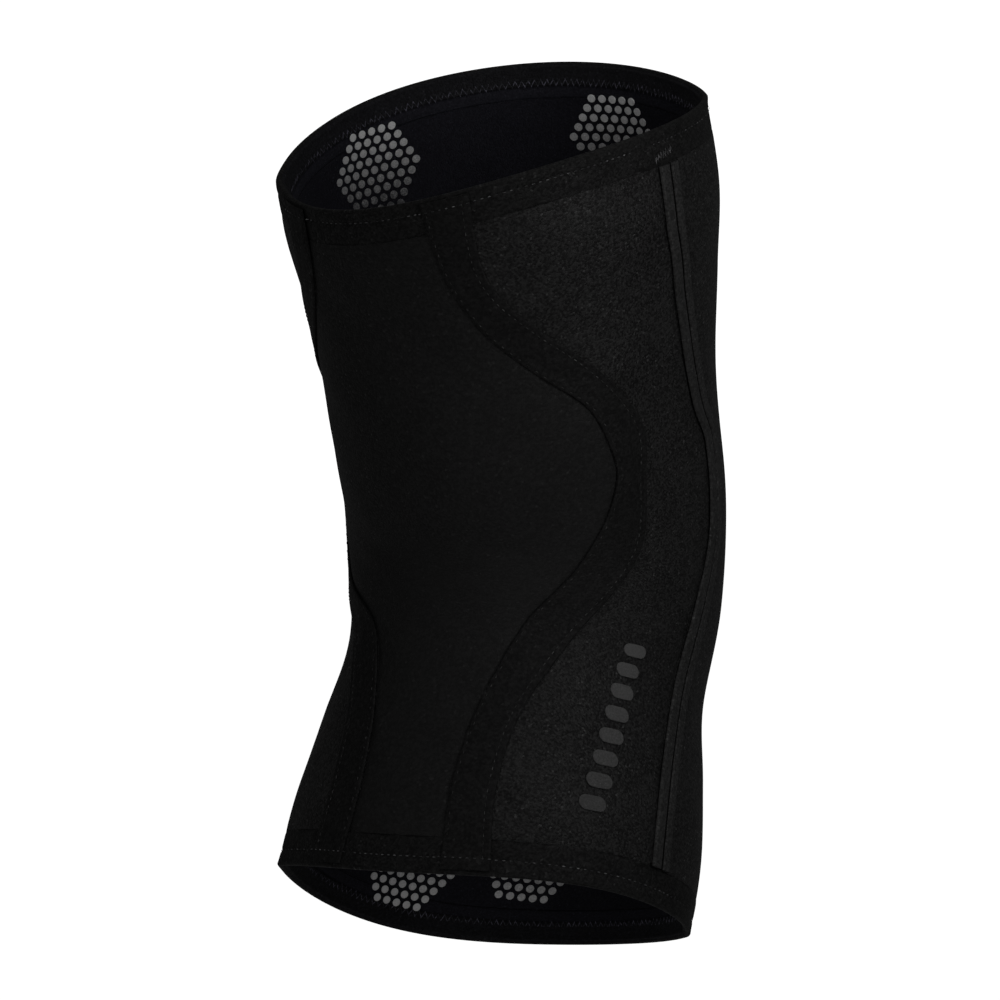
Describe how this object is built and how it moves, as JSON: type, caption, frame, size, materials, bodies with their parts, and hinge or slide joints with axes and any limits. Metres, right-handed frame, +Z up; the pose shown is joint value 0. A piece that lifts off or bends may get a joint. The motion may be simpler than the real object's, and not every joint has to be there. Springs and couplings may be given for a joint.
{
  "type": "knee sleeve",
  "caption": "Pull-on foam rubber knee sleeve in its worn, bent form, with shaped back and side panels, taped seams and stitched hems.",
  "frame": {"origin": "the middle of the wearer's knee, on the leg's middle line, where the sleeve sits", "axes": "+Z up the thigh, -Y toward the kneecap, +Y toward the hollow of the knee, -X toward the wearer's right"},
  "size_m": [0.1539, 0.1801, 0.3204],
  "materials": {
    "back_cloth": "matt black knit over foam rubber",
    "panel_cloth": "matt black knit over foam rubber",
    "band_cloth": "smooth matt black stretch cloth",
    "seam_tape": "matt near-black double-ridged tape",
    "lining_cloth": "smooth bluish-black knit",
    "hem_cloth": "matt black folded knit with stitch rows"
  },
  "bodies": {
    "root": {"back_panel": "back_cloth", "front_panel": "panel_cloth", "side_panel_right": "panel_cloth", "side_panel_left": "panel_cloth", "back_seam_band_right": "band_cloth", "back_seam_band_left": "band_cloth", "front_seam_tape_right": "seam_tape", "front_seam_tape_left": "seam_tape", "inner_lining": "lining_cloth", "top_hem": "hem_cloth", "bottom_hem": "hem_cloth"}
  },
  "joints": []
}
